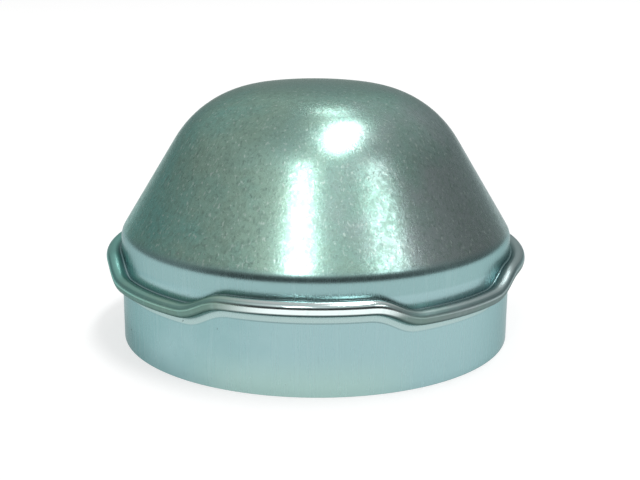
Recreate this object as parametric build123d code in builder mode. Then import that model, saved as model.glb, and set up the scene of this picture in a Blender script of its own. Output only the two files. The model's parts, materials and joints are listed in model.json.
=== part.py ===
from build123d import *
import math
import os

os.makedirs("parts", exist_ok=True)

# Sheet steel cap pressed into a wheel hub. The rim lies on z = 0 and the axis is Z.
# Sizes in millimetres and degrees.

# Sheet and skirt, with the straight land that the hub's bore takes and the draft of the wall above it
SHEET = 0.6
SKIRT_DIAMETER = 62.0
RIM_CHAMFER_SHARE = 0.4
LAND_HEIGHT = 8.7
WALL_DRAFT = 0.25

# Dome, measured on its outside
NECK_HEIGHT = 3.6
DOME_HEIGHT = 23.15
CONE_LEAN = 31.4
SHOULDER_RADIUS = 3.0
KNUCKLE_RADIUS = 17.6
CROWN_RADIUS = 69.0

# Folded bead that stops the cap on the hub, running in waves between two levels
BEAD_HEIGHT = 13.35
BEAD_DROP = 2.25
BEAD_REACH = 2.37
FOLD_GAP = 1.0
VALLEY_RADIUS = 0.25
ROLL_ANGLE = 120.0
SEAT_FILLET_SHARE = 0.9
CREASE_ANGLE = 15.0
WAVE_COUNT = 4
RAISED_SHARE = 0.56
JOGGLE_SHARE = 0.18
JOGGLE_STEPS = 6
FRONT_ANGLE = -90.0

skirt_radius = SKIRT_DIAMETER / 2
shoulder_height = BEAD_HEIGHT + NECK_HEIGHT
overall_height = shoulder_height + DOME_HEIGHT
nose_radius = SHEET + FOLD_GAP / 2
nose_centre = skirt_radius + BEAD_REACH - nose_radius
seat_fillet_radius = SEAT_FILLET_SHARE * (BEAD_REACH - nose_radius)
lowered_height = BEAD_HEIGHT - BEAD_DROP
wave_angle = 360 / WAVE_COUNT
joggle_angle = JOGGLE_SHARE * wave_angle
raised_angle = RAISED_SHARE * wave_angle - joggle_angle
lowered_angle = wave_angle - raised_angle - 2 * joggle_angle


def wall_radius(height):
    # Outer radius of the wall, straight up to the land's end and drafted above it
    return skirt_radius - max(height - LAND_HEIGHT, 0) * math.tan(math.radians(WALL_DRAFT))


def bead_section(angle, height, inset):
    # The fold cut through at one angle, rooted in the wall, the inset below the sheet's outer side.
    # The sheet leaves the wall in a tight valley, rolls over the nose and comes back to the seat fillet.
    outward = Vector(1, 0, 0).rotate(Axis.Z, angle)
    lean = math.cos(math.radians(CREASE_ANGLE))
    roll = math.radians(ROLL_ANGLE)
    apart = nose_radius + VALLEY_RADIUS
    valley_foot = wall_radius(height + nose_radius) + VALLEY_RADIUS * lean
    run = (nose_centre + apart * math.cos(roll) - valley_foot) / math.sin(roll)
    valley_height = height + apart * math.sin(roll) + run * math.cos(roll)
    seat_foot = wall_radius(height) + seat_fillet_radius * lean
    seat_height = height - nose_radius - seat_fillet_radius
    root = skirt_radius - inset - SHEET / 2
    with BuildSketch(Plane((0, 0, 0), outward, outward.cross(Vector(0, 0, 1)))) as section:
        with BuildLine():
            valley = CenterArc((valley_foot, valley_height), VALLEY_RADIUS + inset, 180, ROLL_ANGLE)
            nose = CenterArc((nose_centre, height), nose_radius - inset, ROLL_ANGLE, -90 - ROLL_ANGLE)
            seat = CenterArc((seat_foot, seat_height), seat_fillet_radius + inset, 90, 90)
            Line(valley @ 1, nose @ 0)
            Line(nose @ 1, seat @ 0)
            Polyline(seat @ 1, (root, seat_height), (root, valley_height), valley @ 0)
        make_face()
    return section.sketch


def joggle(start, start_height, end_height, inset):
    # S-shaped step of the bead from one level to the other
    sections = []
    for step in range(JOGGLE_STEPS + 1):
        share = (1 - math.cos(math.pi * step / JOGGLE_STEPS)) / 2
        rise = share - math.sin(2 * math.pi * share) / (2 * math.pi)
        height = start_height + rise * (end_height - start_height)
        sections.append(bead_section(start + share * joggle_angle, height, inset))
    loft(sections)


def bead(inset):
    with BuildPart() as ring:
        for wave in range(WAVE_COUNT):
            raised_start = FRONT_ANGLE + wave * wave_angle - raised_angle / 2
            fall_start = raised_start + raised_angle
            lowered_start = fall_start + joggle_angle
            climb_start = lowered_start + lowered_angle
            revolve(bead_section(raised_start, BEAD_HEIGHT, inset), Axis.Z, raised_angle)
            joggle(fall_start, BEAD_HEIGHT, lowered_height, inset)
            revolve(bead_section(lowered_start, lowered_height, inset), Axis.Z, lowered_angle)
            joggle(climb_start, lowered_height, BEAD_HEIGHT, inset)
    return ring.part


def inset_corner(radius, height, lean_below, lean_above, inset):
    # A corner of the outline moved in by the inset from the walls below and above it
    across = inset / math.cos(math.radians(lean_above - lean_below) / 2)
    direction = math.radians(lean_above + lean_below) / 2
    return radius - across * math.cos(direction), height - across * math.sin(direction)


def pressed_form(inset):
    # The closed form of the cap, the inset below the sheet's outer side
    land = inset_corner(skirt_radius, LAND_HEIGHT, 0, WALL_DRAFT, inset)
    corner = inset_corner(wall_radius(shoulder_height), shoulder_height, WALL_DRAFT, CONE_LEAN, inset)
    cone_tip = corner[1] + corner[0] / math.tan(math.radians(CONE_LEAN))
    with BuildPart() as form:
        with BuildSketch(Plane.XZ) as half:
            with BuildLine():
                Polyline((0, 0), (land[0], 0), land, corner, (0, cone_tip), close=True)
            make_face()
            with Locations((0, overall_height - CROWN_RADIUS)):
                Circle(CROWN_RADIUS - inset, mode=Mode.INTERSECT)
            shoulder = half.vertices().sort_by(Axis.X)[-3:].sort_by(Axis.Y)[-1]
            fillet(shoulder, SHOULDER_RADIUS - inset)
            knuckle = half.vertices().sort_by(Axis.X)[2]
            fillet(knuckle, KNUCKLE_RADIUS - inset)
        revolve(axis=Axis.Z)
        add(bead(inset))
    return form.part


with BuildPart() as dust_cap:
    add(pressed_form(0))
    add(pressed_form(SHEET), mode=Mode.SUBTRACT)
    rim = dust_cap.faces().sort_by(Axis.Z)[0]
    chamfer(rim.outer_wire().edges(), RIM_CHAMFER_SHARE * SHEET)

dust_cap.part.label = "dust cap"
export_step(dust_cap.part, "parts/dust_cap.step")
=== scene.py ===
import json
import math

import bmesh
import bpy
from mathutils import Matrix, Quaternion, Vector
from mathutils.geometry import intersect_line_sphere_2d


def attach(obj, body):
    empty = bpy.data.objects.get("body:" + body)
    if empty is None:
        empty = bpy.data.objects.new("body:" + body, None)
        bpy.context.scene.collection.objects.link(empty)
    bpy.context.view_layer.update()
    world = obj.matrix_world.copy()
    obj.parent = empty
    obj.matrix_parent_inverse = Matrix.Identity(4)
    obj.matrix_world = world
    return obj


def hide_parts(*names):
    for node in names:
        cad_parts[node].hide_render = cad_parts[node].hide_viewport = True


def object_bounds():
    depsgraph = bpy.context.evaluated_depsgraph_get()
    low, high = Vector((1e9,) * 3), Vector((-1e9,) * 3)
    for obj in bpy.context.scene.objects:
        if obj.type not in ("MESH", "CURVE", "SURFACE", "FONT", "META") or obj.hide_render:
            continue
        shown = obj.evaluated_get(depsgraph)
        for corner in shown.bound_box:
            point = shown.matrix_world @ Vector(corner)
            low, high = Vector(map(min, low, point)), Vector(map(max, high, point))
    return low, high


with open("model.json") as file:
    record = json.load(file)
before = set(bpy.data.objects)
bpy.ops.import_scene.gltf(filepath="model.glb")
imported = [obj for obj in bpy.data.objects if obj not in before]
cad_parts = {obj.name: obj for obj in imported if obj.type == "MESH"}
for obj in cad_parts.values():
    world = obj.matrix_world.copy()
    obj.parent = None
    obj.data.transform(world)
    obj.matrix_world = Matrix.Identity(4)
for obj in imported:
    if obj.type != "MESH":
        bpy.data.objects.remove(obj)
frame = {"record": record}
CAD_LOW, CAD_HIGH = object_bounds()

# A millimetre in metres
MM = 0.001

# Sizes that the frame gives, in millimetres, with the bead a hair inside the solid's box
SKIRT = next(mount for mount in frame["record"]["mounts"] if mount["name"] == "skirt")
SKIRT_RADIUS = SKIRT["dims"]["r_mm"]
CAP_HEIGHT = CAD_HIGH.z / MM
BOX_CLEARANCE = 0.002
BEAD_RADIUS = CAD_HIGH.x / MM - BOX_CLEARANCE

# The rest of the sheet's line, in millimetres and degrees
SHEET = 0.6
RIM_EDGE = 0.12
RIM_ANGLE = 60.0
LAND_HEIGHT = 8.7
WALL_DRAFT = 0.25
SHOULDER_HEIGHT = 16.95
SHOULDER_RADIUS = 3.0
CONE_LEAN = 31.4
KNUCKLE_RADIUS = 17.6
CROWN_RADIUS = 69.0
BEAD_HEIGHT = 13.35
BEAD_DROP = 2.25
NOSE_RADIUS = 1.1
ROLL = 120.0
VALLEY_RADIUS = 0.25
SEAT_RADIUS = 1.14
CREASE = 15.0
WAVES = 4
RAISED_SHARE = 0.56
JOGGLE_SHARE = 0.18
FRONT = -90.0

# Rows of the mesh beside the creases, for the painted shade there, and the first row below the waves
CREASE_EDGE = 0.12
VALLEY_LINE = 0.75
SEAT_LINE = 0.58
SEAT_LINE_WIDTH = 0.3
SKIRT_TOP = 8.0

# Steps along the line and round the cap, and how near two points are one, in metres
CROWN_STEPS = 14
KNUCKLE_STEPS = 16
CONE_STEPS = 12
SHOULDER_STEPS = 8
VALLEY_STEPS = 6
SEAT_STEPS = 8
SKIRT_STEPS = 6
RIM_STEPS = 2
STEPS_ROUND = 360
WELD = 1e-6

# What a point of the sheet is marked with: a share in the waves, and where shade, a dark reflection and light
# are painted
MARKS = ("fold", "dirt", "rolled", "under", "pale")

# The nose from its inner side over the top to the underside: the angle where each stretch ends, its steps
# and its marks
# The marks paint a dark reflection band along the nose's top, and shade under the nose
NOSE = (
    (52, 8, ()),
    (22, 4, ("rolled",)),
    (10, 2, ()),
    (-26, 5, ("under",)),
    (-90, 8, ("under", "dirt")),
)
# How dark shade is painted in the valley crease and on the seat line below the bead
VALLEY_SHADE = 0.9
SEAT_SHADE = 0.5

# Stretches of the cap in millimetres: where each one starts and is full, or fades and has ended
DOME_FROM = (16.9, 18.3)
NECK_FROM = (13.9, 14.4)
RAISED_FROM = (11.6, 12.7)
LEDGE_FROM = (11.6, 12.2)
LEDGE_ENDS = (12.6, 13.9)
LEDGE_FADES = (-25, -10)
SKIRT_FOOT_ENDS = (1, 7)
SKIRT_MIDDLE = (25, 31)
BEAD_FROM = (31.2, 31.7)
FRONT_DEPTH = (20, 27)
FRONT_LEFT = (-13, -3)
FRONT_RIGHT = (11, 17)

# Patterns in the plating: scale per millimetre, detail and roughness
SAND = (2.2, 3.0, 0.7)
MOTTLE = (0.9, 4.0, 0.7)
CLOUD = (0.12, 3.0, 0.6)
DRAW_MARKS = (1.4, 3.0, 0.6)
SCRATCHES = (5.0, 1.0, 0.5)
FLECKS = (2.4, 1.0, 0.5)
SPECKS = (1.1, 1.0, 0.5)
INSIDE_GRAIN = (2.4, 3.0, 0.6)
INSIDE_CLOUD = (0.09, 3.0, 0.55)
SHEAR_MARKS = (2.0, 2.0, 0.6)
SAND_SQUEEZE = (1, 1, 0.45)
DRAW_STRETCH = 0.06

# How strong a pattern is where it starts to show and where it is full
SAND_SHOWS = (0.5, 0.75)
MOTTLE_SHOWS = (0.4, 0.7)
DRAW_MARKS_SHOW = (0.5, 0.8)
SCRATCHES_SHOW = (0.68, 0.8)
FLECKS_SHOW = (0.6, 0.76)
SPECKS_SHOW = (0.79, 0.82)

# Passivation colours across the dome, from the left of the photograph's view to its right
STAIN = (
    (0.05, (0.27, 0.58, 0.52, 1)),
    (0.35, (0.38, 0.58, 0.48, 1)),
    (0.6, (0.35, 0.57, 0.50, 1)),
    (0.85, (0.44, 0.54, 0.54, 1)),
)
STAIN_DRIFT = 0.7

# Blue of the wall from left to right
WALL_LEFT = (0.26, 0.44, 0.45, 1)
WALL_RIGHT = (0.335, 0.51, 0.525, 1)
WALL_CHANGES = (0.0, 0.55)

# Coats over the ground colour: the share that each one covers, and its colour
# Painted shade: the neck darker than the skirt below it
NECK_PAINTED_SHADE = (1.0, (0.285, 0.455, 0.46, 1))
# Painted light: a paler band at the foot of the neck on the left
LEDGE_PAINTED_LIGHT = (0.8, (0.54, 0.78, 0.79, 1))
SKIRT_GREEN = (0.7, (0.40, 0.58, 0.53, 1))
# Painted light: the seat fillet below the bead made paler, in place of the floor's reflection
SEAT_PAINTED_LIGHT = (0.7, (0.44, 0.57, 0.55, 1))
# Painted shade under the nose of the bead
UNDER_SHADE_DARK = (0.65, (0.06, 0.09, 0.08, 1))
# Painted sheen: the raised front stretch of the bead made near white, only on the side that faces the view
FRONT_SHEEN = (1.0, (0.86, 0.97, 0.96, 1))
# Painted reflection: a dark teal band along the top of the nose
REFLECTION_BAND_TEAL = (0.4, (0.10, 0.26, 0.27, 1))
MOTTLE_DULL = (0.45, (0.24, 0.36, 0.30, 1))
SAND_DARK = (0.65, (0.16, 0.24, 0.22, 1))
FLECK_BRIGHT = (0.55, (0.72, 0.88, 0.82, 1))
DRAW_PALE = (0.2, (0.42, 0.62, 0.62, 1))
SCRATCH_DARK = (0.15, (0.2, 0.3, 0.3, 1))
SPECK_DARK = (1.0, (0.1, 0.14, 0.14, 1))
# Painted shade: dark in the creases and under the nose, stronger on the front
PAINTED_SHADE_DARK = (1.0, (0.05, 0.08, 0.08, 1))
SHADE_ALL_ROUND = 0.25
SHADE_IN_FRONT = 0.65
GRAZING_TINT = (0.55, 0.62, 0.62, 1)

# Roughness of the outside, and what each pattern or stretch adds to it
PLATING_ROUGH = 0.27
SAND_ROUGH = 0.2
MOTTLE_ROUGH = 0.25
DRAW_ROUGH = 0.07
SHEEN_ROUGH = -0.13
BEAD_ROUGH = 0.11

# Relief of the outside: the depth of a pattern at 1, in millimetres, and each pattern's share
RELIEF = 0.02
SAND_RELIEF = 0.55
DRAW_RELIEF = 0.13
WALL_MOTTLE_RELIEF = 0.12
SCRATCH_RELIEF = 0.1

# Inside and cut edge: colours, roughness and relief
INSIDE_DARK = (0.30, 0.48, 0.47, 1)
INSIDE_PALE = (0.42, 0.58, 0.57, 1)
INSIDE_ROUGH = 0.36
INSIDE_GRAIN_ROUGH = 0.2
INSIDE_RELIEF = 0.05
INSIDE_RELIEF_SHARE = 0.3
EDGE_DARK = (0.26, 0.36, 0.36, 1)
EDGE_PALE = (0.42, 0.54, 0.54, 1)
EDGE_ROUGH = 0.35
SHEAR_ROUGH = 0.2

# Floor: its own grey, and the glow and grey that the camera and the metal see
FLOOR_RADIUS = 9.0
FLOOR_SIDES = 96
FLOOR_GREY = 0.8
SEEN_GLOW = 0.6
SEEN_GREY = 0.5

# Lamps: azimuth and elevation from the cap in degrees, width and depth in metres, radiance
LAMP_DISTANCE = 3.0
AIMED_LAMPS = (
    ("key", -12, 45.5, 0.42, 0.46, 20.0),
    ("fill", 51, 41, 1.0, 0.5, 4.0),
    ("window", 167, 64, 0.6, 0.3, 6.0),
)
LEVEL_LAMP = ("top", 62, 75.5, 0.5, 1.9, 15.0)

# Room light by direction: its plain level, and the changes upwards, to the back, to the right and in front
ROOM = 0.27
ROOM_UP = 0.2
ROOM_BACK = 0.17
ROOM_RIGHT = -0.12
LOW_FRONT_DIM = 0.85
HIGH_FRONT = 0.35

# Where each change starts and is full, or fades and has ended, as parts of a unit direction
UP_FROM = (0.15, 0.7)
BACK_FROM = (0.3, 1.0)
RIGHT_FROM = (0.1, 0.9)
DIM_FROM = (0.2, 0.8)
DIM_ENDS = (0.4, 0.65)
HIGH_FRONT_FROM = (0.1, 0.7)
HIGH_FRONT_ABOVE = (0.5, 0.72)

# The photograph's view, in millimetres and degrees, with the roll in radians and the lens in pixels
VIEW_AZIMUTH = 4.5
VIEW_ELEVATION = 13.12
VIEW_DISTANCE = 180.0
VIEW_PIVOT = Vector((0, 0, 20.0))
VIEW_AIM = Vector((0.66, 0.05, 14.45))
VIEW_ROLL = 0.0069
FOCAL_PIXELS = 1119.6
IMAGE_WIDTH = 640
SENSOR = 36.0
NEAR_CLIP = 0.01


class Wire:
    """A shader socket that Python arithmetic can work on."""

    def __init__(self, nodes, socket):
        self.nodes = nodes
        self.socket = socket

    def maths(self, operation, *values):
        return self.nodes.add("Math", {"operation": operation}, *values)

    def __add__(self, other):
        return self.maths("ADD", self, other)

    def __radd__(self, other):
        return self.maths("ADD", other, self)

    def __sub__(self, other):
        return self.maths("SUBTRACT", self, other)

    def __rsub__(self, other):
        return self.maths("SUBTRACT", other, self)

    def __mul__(self, other):
        return self.maths("MULTIPLY", self, other)

    def __rmul__(self, other):
        return self.maths("MULTIPLY", other, self)

    def __truediv__(self, other):
        return self.maths("DIVIDE", self, other)

    def __pow__(self, other):
        return self.maths("POWER", self, other)

    def step(self, low, high):
        """0 below low, 1 above high, smooth between them."""
        settings = {"interpolation_type": "SMOOTHSTEP"}
        return self.nodes.add("MapRange", settings, self, low, high, 0.0, 1.0)

    def clip(self):
        return self.nodes.add("Clamp", {}, self, 0.0, 1.0)

    def centred(self):
        """A pattern moved to lie about zero."""
        return self - 0.5

    def output(self, name):
        """Another output of the same node."""
        return Wire(self.nodes, self.socket.node.outputs[name])


class Nodes:
    """The node tree of one material or of the world."""

    def __init__(self, owner):
        owner.use_nodes = True
        self.tree = owner.node_tree
        self.tree.nodes.clear()

    def add(self, kind, settings, *values, **named):
        """A node with its settings and its sockets, in order or by name. Gives its first output, if any."""
        node = self.tree.nodes.new("ShaderNode" + kind)
        for name, value in settings.items():
            if name == "stops":
                set_stops(node.color_ramp.elements, value)
            else:
                setattr(node, name, value)
        live = [socket for socket in node.inputs if socket.enabled]
        given = list(zip(live, values))
        given += [(node.inputs[name.replace("_", " ")], value) for name, value in named.items()]
        for socket, value in given:
            if isinstance(value, Wire):
                self.tree.links.new(value.socket, socket)
            else:
                socket.default_value = value
        return Wire(self, next((socket for socket in node.outputs if socket.enabled), None))

    def mix(self, share, first, second):
        """A blend of two colours."""
        return self.add("Mix", {"data_type": "RGBA"}, share, first, second)

    def coat(self, ground, where, kind):
        """The ground colour with a coat over it where it lies."""
        share, colour = kind
        return self.mix(where * share, ground, colour)

    def vector(self, operation, *values):
        return self.add("VectorMath", {"operation": operation}, *values)

    def parts(self, vector):
        """The three numbers of a vector."""
        split = self.add("SeparateXYZ", {}, vector)
        return [split.output(name) for name in "XYZ"]

    def spot(self):
        """The place on the cap, in millimetres."""
        return self.vector("MULTIPLY", self.add("TexCoord", {}).output("Object"), (1 / MM,) * 3)

    def noise(self, place, scale, detail, roughness):
        return self.add("TexNoise", {}, Vector=place, Scale=scale, Detail=detail, Roughness=roughness)

    def mark(self, name):
        """What the points of the sheet are marked with."""
        return self.add("Attribute", {"attribute_name": name}).output("Fac")


def set_stops(ramp, stops):
    while len(ramp) < len(stops):
        ramp.new(1.0)
    for element, (place, colour) in zip(ramp, stops):
        element.position = place
        element.color = colour


def grey(level):
    return (level, level, level, 1.0)


# The sheet's line, drawn from the crown to the rim

def arc(bm, tip, centre, turn, steps):
    """Bends the line round a centre, clockwise for a positive turn, and gives back its new tip."""
    made = bmesh.ops.spin(
        bm, geom=[tip], cent=(centre.x * MM, 0, centre.y * MM), axis=(0, 1, 0),
        angle=math.radians(turn), steps=steps
    )
    return next(part for part in made["geom_last"] if isinstance(part, bmesh.types.BMVert))


def line(bm, tip, end, steps=1):
    """Draws the line straight on to a point in equal steps."""
    start = tip.co.copy()
    for step in range(steps):
        tip = bmesh.ops.extrude_vert_indiv(bm, verts=[tip])["verts"][0]
        tip.co = start.lerp(Vector((end.x * MM, 0, end.y * MM)), (step + 1) / steps)
    return tip


def at(angle):
    """Unit direction in the section's plane, its angle counted up from the outward direction."""
    return Vector((math.cos(math.radians(angle)), math.sin(math.radians(angle))))


def up(height):
    return Vector((0, height))


def wall_radius(height):
    """Outer radius of the wall, straight up to the land's end and drafted above it."""
    return SKIRT_RADIUS - max(height - LAND_HEIGHT, 0) * math.tan(math.radians(WALL_DRAFT))


def dome_line(bm):
    """From the crown over the knuckle and down the cone to the shoulder's foot."""
    shoulder = Vector((wall_radius(SHOULDER_HEIGHT), SHOULDER_HEIGHT))
    crown_centre = Vector((0, CAP_HEIGHT - CROWN_RADIUS))
    inside = shoulder - at(CONE_LEAN) * KNUCKLE_RADIUS
    cone = at(CONE_LEAN + 90)
    knuckle_centre = intersect_line_sphere_2d(
        inside, inside + cone * CROWN_RADIUS, crown_centre, CROWN_RADIUS - KNUCKLE_RADIUS
    )[0]
    toward = knuckle_centre - crown_centre
    crown_edge = math.degrees(math.atan2(toward.y, toward.x))
    shoulder_foot = SHOULDER_HEIGHT - SHOULDER_RADIUS * math.tan(math.radians(CONE_LEAN / 2))
    shoulder_centre = Vector((shoulder.x - SHOULDER_RADIUS, shoulder_foot))

    tip = bm.verts.new((0, 0, CAP_HEIGHT * MM))
    tip = arc(bm, tip, crown_centre, 90 - crown_edge, CROWN_STEPS)
    tip = arc(bm, tip, knuckle_centre, crown_edge - CONE_LEAN, KNUCKLE_STEPS)
    tip = line(bm, tip, shoulder_centre + at(CONE_LEAN) * SHOULDER_RADIUS, CONE_STEPS)
    return arc(bm, tip, shoulder_centre, CONE_LEAN, SHOULDER_STEPS)


def bead_line(bm, tip):
    """Down the neck and round the fold at its raised level.

    Gives back the tip and the marks: each one's name and value, its first point and the one after its last.
    """
    lean = math.cos(math.radians(CREASE))
    nose_centre = Vector((BEAD_RADIUS - NOSE_RADIUS, BEAD_HEIGHT))
    bend = nose_centre + at(ROLL) * (NOSE_RADIUS + VALLEY_RADIUS)
    valley_foot = wall_radius(BEAD_HEIGHT + NOSE_RADIUS) + VALLEY_RADIUS * lean
    valley_centre = bend + at(ROLL + 90) * (valley_foot - bend.x) / at(ROLL + 90).x
    valley_crease = valley_centre + at(180 + CREASE) * VALLEY_RADIUS
    seat_centre = Vector((SKIRT_RADIUS + SEAT_RADIUS * lean, BEAD_HEIGHT - NOSE_RADIUS - SEAT_RADIUS))
    seat_crease = seat_centre + at(180 - CREASE) * SEAT_RADIUS
    marks = []

    fold_start = len(bm.verts)
    tip = line(bm, tip, valley_crease + up(VALLEY_LINE))
    valley_start = len(bm.verts)
    tip = line(bm, tip, valley_crease + up(CREASE_EDGE))
    tip = line(bm, tip, valley_crease)
    tip = arc(bm, tip, valley_centre, CREASE - ROLL, VALLEY_STEPS)
    # Painted shade along the valley crease
    marks.append(("dirt", VALLEY_SHADE, valley_start, len(bm.verts)))

    tip = line(bm, tip, nose_centre + at(ROLL) * NOSE_RADIUS)
    start = ROLL
    for end, steps, names in NOSE:
        marks += [(name, 1.0, len(bm.verts), len(bm.verts) + steps) for name in names]
        tip = arc(bm, tip, nose_centre, start - end, steps)
        start = end

    seat_start = len(bm.verts)
    tip = line(bm, tip, seat_centre + up(SEAT_RADIUS))
    tip = arc(bm, tip, seat_centre, CREASE - 90, SEAT_STEPS)
    tip = line(bm, tip, seat_crease - up(SEAT_LINE - SEAT_LINE_WIDTH / 2))
    # Painted light on the seat fillet below the nose
    marks.append(("pale", 1.0, seat_start, len(bm.verts)))
    tip = line(bm, tip, seat_crease - up(SEAT_LINE))
    # Painted shade along the seat line
    marks.append(("dirt", SEAT_SHADE, len(bm.verts) - 1, len(bm.verts)))
    tip = line(bm, tip, seat_crease - up(SEAT_LINE + SEAT_LINE_WIDTH / 2))
    marks.append(("fold", 1.0, fold_start, len(bm.verts)))
    return tip, marks


def sheet_line(bm):
    """The sheet's outer line. Its marks are set last, because a new point copies those of the one before."""
    tip = dome_line(bm)
    tip, marks = bead_line(bm, tip)
    tip = line(bm, tip, Vector((SKIRT_RADIUS, SKIRT_TOP)))
    line(bm, tip, Vector((SKIRT_RADIUS, 0)), SKIRT_STEPS)
    drawn = list(bm.verts)
    for name, value, first, last in marks:
        for vert in drawn[first:last]:
            vert[bm.verts.layers.float[name]] = value


def lowered(angle):
    """0 on the raised stretches of the bead, 1 on the lowered ones, an S between them."""
    pitch = 360 / WAVES
    away = abs((angle - FRONT + pitch / 2) % pitch - pitch / 2)
    joggle = JOGGLE_SHARE * pitch
    share = min(max((away - (RAISED_SHARE * pitch - joggle) / 2) / joggle, 0), 1)
    return share - math.sin(2 * math.pi * share) / (2 * math.pi)


def sheet_mesh():
    """The sheet's outer side: the line turned round the axis, with its fold pressed into waves."""
    bm = bmesh.new()
    for name in MARKS:
        bm.verts.layers.float.new(name)
    sheet_line(bm)
    bmesh.ops.spin(
        bm, geom=bm.verts[:] + bm.edges[:], cent=(0, 0, 0), axis=(0, 0, 1),
        angle=2 * math.pi, steps=STEPS_ROUND, use_merge=True
    )
    bmesh.ops.remove_doubles(bm, verts=bm.verts, dist=WELD)
    fold = bm.verts.layers.float["fold"]
    for vert in bm.verts:
        angle = math.degrees(math.atan2(vert.co.y, vert.co.x))
        vert.co.z -= vert[fold] * lowered(angle) * BEAD_DROP * MM
    bmesh.ops.recalc_face_normals(bm, faces=bm.faces)
    for face in bm.faces:
        face.smooth = True
    mesh = bpy.data.meshes.new("cap_sheet")
    bm.to_mesh(mesh)
    bm.free()
    return mesh


def pressed_cap():
    """The cap: the sheet at its thickness, with a rounded rim."""
    mesh = sheet_mesh()
    for material in (zinc_outside(), zinc_inside(), cut_edge()):
        mesh.materials.append(material)
    cap = bpy.data.objects.new("cap_sheet", mesh)
    bpy.context.collection.objects.link(cap)
    wall = cap.modifiers.new("sheet", "SOLIDIFY")
    wall.thickness = SHEET * MM
    wall.offset = -1
    wall.use_quality_normals = True
    wall.material_offset = 1
    wall.material_offset_rim = 2
    rim = cap.modifiers.new("rim", "BEVEL")
    rim.width = RIM_EDGE * MM
    rim.segments = RIM_STEPS
    rim.limit_method = "ANGLE"
    rim.angle_limit = math.radians(RIM_ANGLE)
    return cap


# Finishes

def zinc_outside():
    """Blue-passivated zinc: sandy satin on the dome, smoother on neck and skirt, with a painted sheen on the
    bead's front, and painted shade, light and a dark reflection round the bead.
    """
    material = bpy.data.materials.new("zinc_outside")
    nodes = Nodes(material)
    spot = nodes.spot()
    x, y, z = nodes.parts(spot)
    radius = (x * x + y * y) ** 0.5
    toward = 0 - y

    # Stretches of the cap
    dome = z.step(*DOME_FROM)
    wall = 1 - dome
    bead = radius.step(*BEAD_FROM)
    front = toward.step(*FRONT_DEPTH) * x.step(*FRONT_LEFT) * (1 - x.step(*FRONT_RIGHT))
    # Painted sheen on the bead's raised front stretch
    painted_sheen = bead * z.step(*RAISED_FROM) * front
    # Painted light on the left foot of the neck
    painted_light_ledge = z.step(*LEDGE_FROM) * (1 - z.step(*LEDGE_ENDS)) * (1 - x.step(*LEDGE_FADES))
    skirt_foot = (1 - z.step(*SKIRT_FOOT_ENDS)) * toward.step(*SKIRT_MIDDLE)
    # Where shade, a dark reflection band and light are painted
    dirt, rolled, under, pale = (nodes.mark(name) for name in ("dirt", "rolled", "under", "pale"))

    # Patterns, with the draw marks and scratches stretched along the wall
    draw = nodes.add("CombineXYZ", {}, x / radius * SKIRT_RADIUS, y / radius * SKIRT_RADIUS, z * DRAW_STRETCH)
    drawn = nodes.vector("MULTIPLY", spot, SAND_SQUEEZE)
    sand = nodes.noise(drawn, *SAND)
    mottle = nodes.noise(spot, *MOTTLE)
    cloud = nodes.noise(spot, *CLOUD)
    marks = nodes.noise(draw, *DRAW_MARKS)
    scratch = nodes.noise(draw, *SCRATCHES).step(*SCRATCHES_SHOW)
    fleck = nodes.noise(drawn, *FLECKS).step(*FLECKS_SHOW)
    speck = nodes.noise(spot, *SPECKS).step(*SPECKS_SHOW)

    # Colour, coat over coat
    across = x / (2 * SKIRT_RADIUS) + 0.5 + cloud.centred() * STAIN_DRIFT
    stain = nodes.add("ValToRGB", {"stops": STAIN}, across)
    blue = nodes.mix(across.step(*WALL_CHANGES), WALL_LEFT, WALL_RIGHT)
    # Painted shade over the neck
    blue = nodes.coat(blue, z.step(*NECK_FROM), NECK_PAINTED_SHADE)
    blue = nodes.coat(blue, painted_light_ledge, LEDGE_PAINTED_LIGHT)
    blue = nodes.coat(blue, skirt_foot, SKIRT_GREEN)
    tint = nodes.mix(dome, blue, stain)
    tint = nodes.mix(bead, tint, stain)
    # Painted light on the seat fillet
    tint = nodes.coat(tint, pale, SEAT_PAINTED_LIGHT)
    # Painted shade on the nose's underside
    tint = nodes.mix(under, tint, nodes.coat(stain, 1.0, UNDER_SHADE_DARK))
    tint = nodes.coat(tint, painted_sheen, FRONT_SHEEN)
    # Painted dark reflection along the nose
    tint = nodes.coat(tint, rolled, REFLECTION_BAND_TEAL)
    tint = nodes.coat(tint, mottle.step(*MOTTLE_SHOWS) * dome, MOTTLE_DULL)
    tint = nodes.coat(tint, sand.step(*SAND_SHOWS) * dome, SAND_DARK)
    tint = nodes.coat(tint, fleck * dome, FLECK_BRIGHT)
    tint = nodes.coat(tint, marks.step(*DRAW_MARKS_SHOW) * wall, DRAW_PALE)
    tint = nodes.coat(tint, scratch, SCRATCH_DARK)
    tint = nodes.coat(tint, speck * wall * (1 - bead), SPECK_DARK)
    # Painted shade in the creases and under the nose, darkest on the front
    tint = nodes.coat(tint, dirt * (SHADE_ALL_ROUND + front * SHADE_IN_FRONT), PAINTED_SHADE_DARK)

    # Roughness and relief
    rough = PLATING_ROUGH + (sand.centred() * SAND_ROUGH + mottle.centred() * MOTTLE_ROUGH) * dome
    rough = rough + marks.centred() * wall * DRAW_ROUGH + painted_sheen * SHEEN_ROUGH
    rough = rough + bead * (1 - painted_sheen) * BEAD_ROUGH
    height = (sand * SAND_RELIEF + mottle) * dome
    height = height + (marks * DRAW_RELIEF + mottle * WALL_MOTTLE_RELIEF) * wall + scratch * SCRATCH_RELIEF
    bump = nodes.add("Bump", {}, Strength=1.0, Distance=RELIEF * MM, Height=height)
    shade = nodes.add(
        "BsdfPrincipled", {}, Base_Color=tint, Metallic=1.0, Roughness=rough, Normal=bump,
        Specular_Tint=GRAZING_TINT
    )
    nodes.add("OutputMaterial", {}, Surface=shade)
    return material


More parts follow.
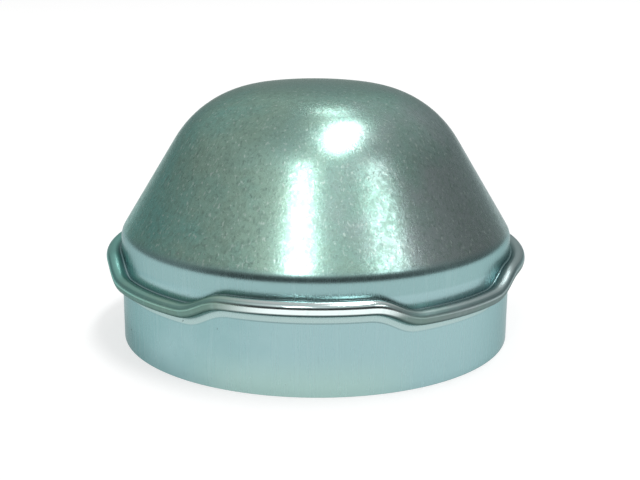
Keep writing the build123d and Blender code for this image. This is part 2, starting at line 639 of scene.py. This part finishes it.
def zinc_inside():
    """Duller, evenly grained zinc."""
    material = bpy.data.materials.new("zinc_inside")
    nodes = Nodes(material)
    spot = nodes.spot()
    grain = nodes.noise(spot, *INSIDE_GRAIN)
    tint = nodes.mix(nodes.noise(spot, *INSIDE_CLOUD), INSIDE_DARK, INSIDE_PALE)
    rough = INSIDE_ROUGH + grain.centred() * INSIDE_GRAIN_ROUGH
    bump = nodes.add("Bump", {}, Strength=INSIDE_RELIEF_SHARE, Distance=INSIDE_RELIEF * MM, Height=grain)
    shade = nodes.add("BsdfPrincipled", {}, Base_Color=tint, Metallic=1.0, Roughness=rough, Normal=bump)
    nodes.add("OutputMaterial", {}, Surface=shade)
    return material


def cut_edge():
    """Sheared edge of the rim."""
    material = bpy.data.materials.new("cut_edge")
    nodes = Nodes(material)
    shear = nodes.noise(nodes.spot(), *SHEAR_MARKS)
    tint = nodes.mix(shear, EDGE_DARK, EDGE_PALE)
    rough = EDGE_ROUGH + shear * SHEAR_ROUGH
    shade = nodes.add("BsdfPrincipled", {}, Base_Color=tint, Metallic=1.0, Roughness=rough)
    nodes.add("OutputMaterial", {}, Surface=shade)
    return material


def floor_white():
    """Pale floor that the camera and the metal see as white, with the cap's shadow on it."""
    material = bpy.data.materials.new("floor_white")
    nodes = Nodes(material)
    plain = nodes.add("BsdfDiffuse", {}, Color=grey(FLOOR_GREY))
    glow = nodes.add("Emission", {}, Color=grey(1.0), Strength=SEEN_GLOW)
    shadow = nodes.add("BsdfDiffuse", {}, Color=grey(SEEN_GREY))
    seen = nodes.add("AddShader", {}, glow, shadow)
    ray = nodes.add("LightPath", {})
    to_camera = ray.output("Is Camera Ray")
    to_metal = ray.output("Is Glossy Ray")
    through = ray.output("Is Transmission Ray")
    shade = nodes.add("MixShader", {}, (to_camera + to_metal + through).clip(), plain, seen)
    nodes.add("OutputMaterial", {}, Surface=shade)
    return material


# Studio

def floor():
    bm = bmesh.new()
    bmesh.ops.create_circle(bm, cap_ends=True, segments=FLOOR_SIDES, radius=FLOOR_RADIUS)
    mesh = bpy.data.meshes.new("floor")
    bm.to_mesh(mesh)
    bm.free()
    mesh.materials.append(floor_white())
    ground = bpy.data.objects.new("floor", mesh)
    bpy.context.collection.objects.link(ground)


def from_cap(azimuth, elevation):
    """Direction from the cap, azimuth 0 towards the camera and positive to its right."""
    a = math.radians(azimuth + VIEW_AZIMUTH)
    e = math.radians(elevation)
    return Vector((math.sin(a) * math.cos(e), -math.cos(a) * math.cos(e), math.sin(e)))


def lamp(name, azimuth, elevation, wide, deep, radiance, aimed=True):
    """Soft oval lamp that looks at the cap, or straight down if it isn't aimed."""
    light = bpy.data.lights.new(name, "AREA")
    light.shape = "ELLIPSE"
    light.size = wide
    light.size_y = deep
    area = math.pi / 4 * wide * deep
    light.energy = radiance * math.pi * area
    holder = bpy.data.objects.new(name, light)
    way = from_cap(azimuth, elevation)
    holder.location = way * LAMP_DISTANCE
    if aimed:
        holder.rotation_euler = way.to_track_quat("Z", "Y").to_euler()
    bpy.context.collection.objects.link(holder)


def room():
    """Grey room, lighter above and behind, dim low in front."""
    world = bpy.data.worlds.new("room")
    bpy.context.scene.world = world
    nodes = Nodes(world)
    right, back, above = nodes.parts(nodes.add("TexCoord", {}).output("Generated"))
    front = 0 - back
    low_front = front.step(*DIM_FROM) * (1 - above.step(*DIM_ENDS))
    high_front = front.step(*HIGH_FRONT_FROM) * above.step(*HIGH_FRONT_ABOVE)
    level = ROOM + above.step(*UP_FROM) * ROOM_UP + back.step(*BACK_FROM) * ROOM_BACK
    level = level + right.step(*RIGHT_FROM) * ROOM_RIGHT
    level = level * (1 - low_front * LOW_FRONT_DIM) + high_front * HIGH_FRONT
    glow = nodes.add("Background", {}, Color=level, Strength=1.0)
    nodes.add("OutputWorld", {}, Surface=glow)


def studio():
    floor()
    for settings in AIMED_LAMPS:
        lamp(*settings)
    lamp(*LEVEL_LAMP, aimed=False)
    room()


def camera():
    lens = bpy.data.cameras.new("camera")
    lens.sensor_width = SENSOR
    lens.lens = FOCAL_PIXELS / IMAGE_WIDTH * SENSOR
    lens.clip_start = NEAR_CLIP
    holder = bpy.data.objects.new("camera", lens)
    holder.location = (VIEW_PIVOT + from_cap(0, VIEW_ELEVATION) * VIEW_DISTANCE) * MM
    look = VIEW_AIM * MM - holder.location
    holder.rotation_mode = "QUATERNION"
    holder.rotation_quaternion = look.to_track_quat("-Z", "Y") @ Quaternion((0, 0, 1), VIEW_ROLL)
    bpy.context.collection.objects.link(holder)
    bpy.context.scene.camera = holder


cap = pressed_cap()
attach(cap, "root")
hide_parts("dust_cap")
studio()
camera()
bpy.context.scene.view_settings.view_transform = "Standard"
